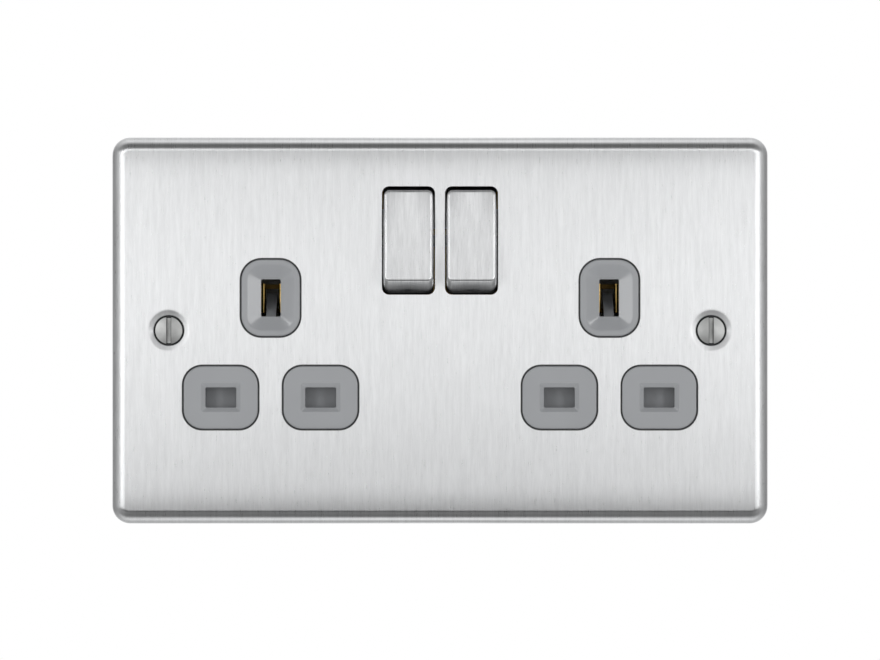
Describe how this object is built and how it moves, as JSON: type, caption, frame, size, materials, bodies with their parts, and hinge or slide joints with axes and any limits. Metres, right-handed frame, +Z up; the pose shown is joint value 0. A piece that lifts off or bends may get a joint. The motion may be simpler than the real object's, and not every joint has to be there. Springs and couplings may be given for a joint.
{
  "type": "twin switched wall socket",
  "caption": "Two-gang switched wall socket outlet with a brushed steel plate, grey insert, rocker switches, safety shutters and rear terminals.",
  "frame": {"origin": "centre of the plate on the wall plane, where its rear rim bears", "axes": "-Y out of the wall towards the user, +Y into the wall box, +X to the right seen from the front, +Z up"},
  "size_m": [0.146, 0.0308, 0.086],
  "materials": {
    "plate_steel": "satin, vertical brush",
    "cap_steel": "satin, vertical brush",
    "pillar_steel": "turned",
    "insert_plastic": "satin moulded grey",
    "housing_plastic": "moulded, fine texture",
    "rocker_plastic": "moulded",
    "plunger_plastic": "moulded",
    "shutter_plastic": "moulded",
    "contact_brass": "stamped strip",
    "terminal_brass": "machined",
    "contact_silver": "silver button",
    "screw_steel": "zinc plated",
    "screw_nickel": "nickel plated",
    "spring_steel": "drawn wire"
  },
  "bodies": {
    "socket": {"assembly_screws": "screw_steel", "earth_bar": "contact_brass", "earth_terminal_1": "terminal_brass", "earth_terminal_2": "terminal_brass", "earth_terminal_screw_1": "screw_steel", "earth_terminal_screw_2": "screw_steel", "fixed_tip_left": "contact_silver", "fixed_tip_right": "contact_silver", "fixing_screw_left": "screw_nickel", "fixing_screw_right": "screw_nickel", "front_plate": "plate_steel", "insert_moulding": "insert_plastic", "live_outlet_contact_left": "contact_brass", "live_outlet_contact_right": "contact_brass", "live_supply_bar": "contact_brass", "live_terminal": "terminal_brass", "live_terminal_screw": "screw_steel", "neutral_bar": "contact_brass", "neutral_terminal": "terminal_brass", "neutral_terminal_screw": "screw_steel", "plate_pillars": "pillar_steel", "rear_housing": "housing_plastic", "shutter_spring_left": "spring_steel", "shutter_spring_right": "spring_steel"},
    "rocker_left": {"rocker_cap_left": "cap_steel", "rocker_left": "rocker_plastic", "rocker_spring_left": "spring_steel"},
    "plunger_left": {"plunger_left": "plunger_plastic"},
    "seesaw_left": {"moving_contact_left": "contact_brass", "moving_tip_left": "contact_silver"},
    "shutter_left": {"shutter_left": "shutter_plastic"},
    "rocker_right": {"rocker_cap_right": "cap_steel", "rocker_right": "rocker_plastic", "rocker_spring_right": "spring_steel"},
    "plunger_right": {"plunger_right": "plunger_plastic"},
    "seesaw_right": {"moving_contact_right": "contact_brass", "moving_tip_right": "contact_silver"},
    "shutter_right": {"shutter_right": "shutter_plastic"}
  },
  "joints": [
    {"name": "rocker_left_tilt", "type": "hinge", "parent": "socket", "child": "rocker_left", "pos_m": [-0.007, -0.004, 0.02], "axis": [1, 0, 0], "range_deg": [0, 20.4]},
    {"name": "rocker_right_tilt", "type": "hinge", "parent": "socket", "child": "rocker_right", "pos_m": [0.007, -0.004, 0.02], "axis": [1, 0, 0], "range_deg": [0, 20.4]},
    {"name": "seesaw_left_rock", "type": "hinge", "parent": "socket", "child": "seesaw_left", "pos_m": [-0.007, 0.0051, 0.02], "axis": [1, 0, 0], "range_deg": [-12.24, 0]},
    {"name": "seesaw_right_rock", "type": "hinge", "parent": "socket", "child": "seesaw_right", "pos_m": [0.007, 0.0051, 0.02], "axis": [1, 0, 0], "range_deg": [-12.24, 0]},
    {"name": "plunger_left_slide", "type": "slide", "parent": "rocker_left", "child": "plunger_left", "axis": [0, -0.9842, 0.1771], "range_m": [0, 0.0005], "stiffness_N_per_m": 500, "springref_m": -0.001, "deforming": ["rocker_spring_left"]},
    {"name": "plunger_right_slide", "type": "slide", "parent": "rocker_right", "child": "plunger_right", "axis": [0, -0.9842, 0.1771], "range_m": [0, 0.0005], "stiffness_N_per_m": 500, "springref_m": -0.001, "deforming": ["rocker_spring_right"]},
    {"name": "shutter_left_slide", "type": "slide", "parent": "socket", "child": "shutter_left", "axis": [0, 0, -1], "range_m": [0, 0.0052], "stiffness_N_per_m": 60, "springref_m": -0.004, "deforming": ["shutter_spring_left"]},
    {"name": "shutter_right_slide", "type": "slide", "parent": "socket", "child": "shutter_right", "axis": [0, 0, -1], "range_m": [0, 0.0052], "stiffness_N_per_m": 60, "springref_m": -0.004, "deforming": ["shutter_spring_right"]}
  ],
  "couplings": [
    {"joint": "seesaw_left_rock", "follows": "rocker_left_tilt", "ratio": -0.6},
    {"joint": "seesaw_right_rock", "follows": "rocker_right_tilt", "ratio": -0.6}
  ]
}
